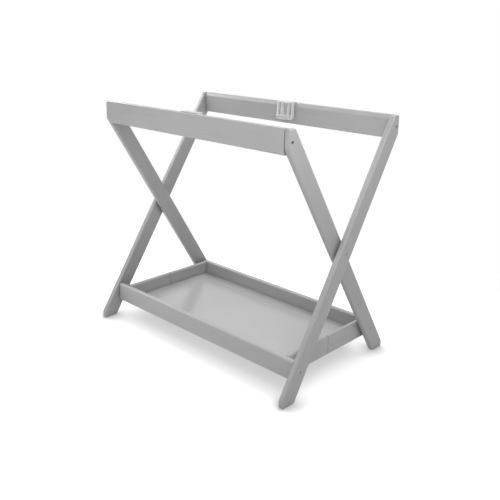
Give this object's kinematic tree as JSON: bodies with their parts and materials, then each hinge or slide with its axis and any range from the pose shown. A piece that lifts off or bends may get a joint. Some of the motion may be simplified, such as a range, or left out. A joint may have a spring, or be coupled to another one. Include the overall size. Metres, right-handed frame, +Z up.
{
  "type": "folding bassinet stand",
  "caption": "Folding wooden scissor stand that carries a bassinet between two top rails, with a clip inside each rail and a folding tray between its legs.",
  "frame": {"origin": "on the floor, midway between the four feet", "axes": "+X along the stand to its right-hand end, -Y towards its front, +Z up"},
  "size_m": [0.754, 0.4642, 0.6874],
  "materials": {
    "grey_paint": "satin grey paint on wood",
    "panel_paint": "smooth light grey board",
    "bare_beech": "bare beech",
    "plated_steel": "dull zinc plate",
    "grey_nylon": "grey nylon",
    "clear_plastic": "translucent pale plastic"
  },
  "bodies": {
    "outer_frame": {"rear_top_rail": "grey_paint", "rear_cot_clip": "clear_plastic", "outer_leg_left": "grey_paint", "outer_leg_right": "grey_paint", "rear_rail_screw_left": "plated_steel", "rear_rail_screw_right": "plated_steel", "rear_rail_dowel_left": "bare_beech", "rear_rail_dowel_right": "bare_beech", "rear_clip_screw_left": "plated_steel", "rear_clip_screw_right": "plated_steel"},
    "inner_frame": {"front_top_rail": "grey_paint", "front_cot_clip": "clear_plastic", "inner_leg_left": "grey_paint", "inner_leg_right": "grey_paint", "front_rail_screw_left": "plated_steel", "front_rail_screw_right": "plated_steel", "front_rail_dowel_left": "bare_beech", "front_rail_dowel_right": "bare_beech", "front_clip_screw_left": "plated_steel", "front_clip_screw_right": "plated_steel", "pivot_bolt_left": "plated_steel", "pivot_bolt_right": "plated_steel", "pivot_nut_left": "plated_steel", "pivot_nut_right": "plated_steel", "pivot_washer_left": "grey_nylon", "pivot_washer_right": "grey_nylon", "tray_rear_pin_left": "plated_steel", "tray_rear_pin_right": "plated_steel", "tray_rear_washer_left": "grey_nylon", "tray_rear_washer_right": "grey_nylon"},
    "tray_front": {"tray_front_rail": "grey_paint", "tray_front_long_cleat": "grey_paint", "tray_front_end_cleat_left": "grey_paint", "tray_front_end_cleat_right": "grey_paint", "tray_front_end_rail_left": "grey_paint", "tray_front_end_rail_right": "grey_paint", "hinge_front_leaf_left": "plated_steel", "hinge_front_leaf_right": "plated_steel", "hinge_front_near_screw_left": "plated_steel", "hinge_front_near_screw_right": "plated_steel", "hinge_front_far_screw_left": "plated_steel", "hinge_front_far_screw_right": "plated_steel", "tray_front_pin_left": "plated_steel", "tray_front_pin_right": "plated_steel", "tray_front_washer_left": "grey_nylon", "tray_front_washer_right": "grey_nylon"},
    "tray_rear": {"tray_rear_rail": "grey_paint", "tray_rear_long_cleat": "grey_paint", "tray_rear_end_cleat_left": "grey_paint", "tray_rear_end_cleat_right": "grey_paint", "tray_rear_end_rail_left": "grey_paint", "tray_rear_end_rail_right": "grey_paint", "hinge_rear_leaf_left": "plated_steel", "hinge_rear_leaf_right": "plated_steel", "hinge_rear_near_screw_left": "plated_steel", "hinge_rear_near_screw_right": "plated_steel", "hinge_rear_far_screw_left": "plated_steel", "hinge_rear_far_screw_right": "plated_steel", "tray_floor_panel": "panel_paint"}
  },
  "joints": [
    {"name": "frame_fold", "type": "hinge", "parent": "outer_frame", "child": "inner_frame", "pos_m": [0, 0, 0.34192], "axis": [-1, 0, 0], "range_deg": [0, 53.5]},
    {"name": "tray_front_fold", "type": "hinge", "parent": "outer_frame", "child": "tray_front", "pos_m": [0, -0.17, 0.0775], "axis": [1, 0, 0], "range_deg": [0, 61.7]},
    {"name": "tray_middle_fold", "type": "hinge", "parent": "tray_front", "child": "tray_rear", "pos_m": [0, 0, 0.0494], "axis": [-1, 0, 0], "range_deg": [0, 176.9]}
  ],
  "couplings": [
    {"joint": "tray_front_fold", "follows": "frame_fold", "ratio": 1.1526},
    {"joint": "tray_middle_fold", "follows": "frame_fold", "ratio": 3.3053}
  ]
}
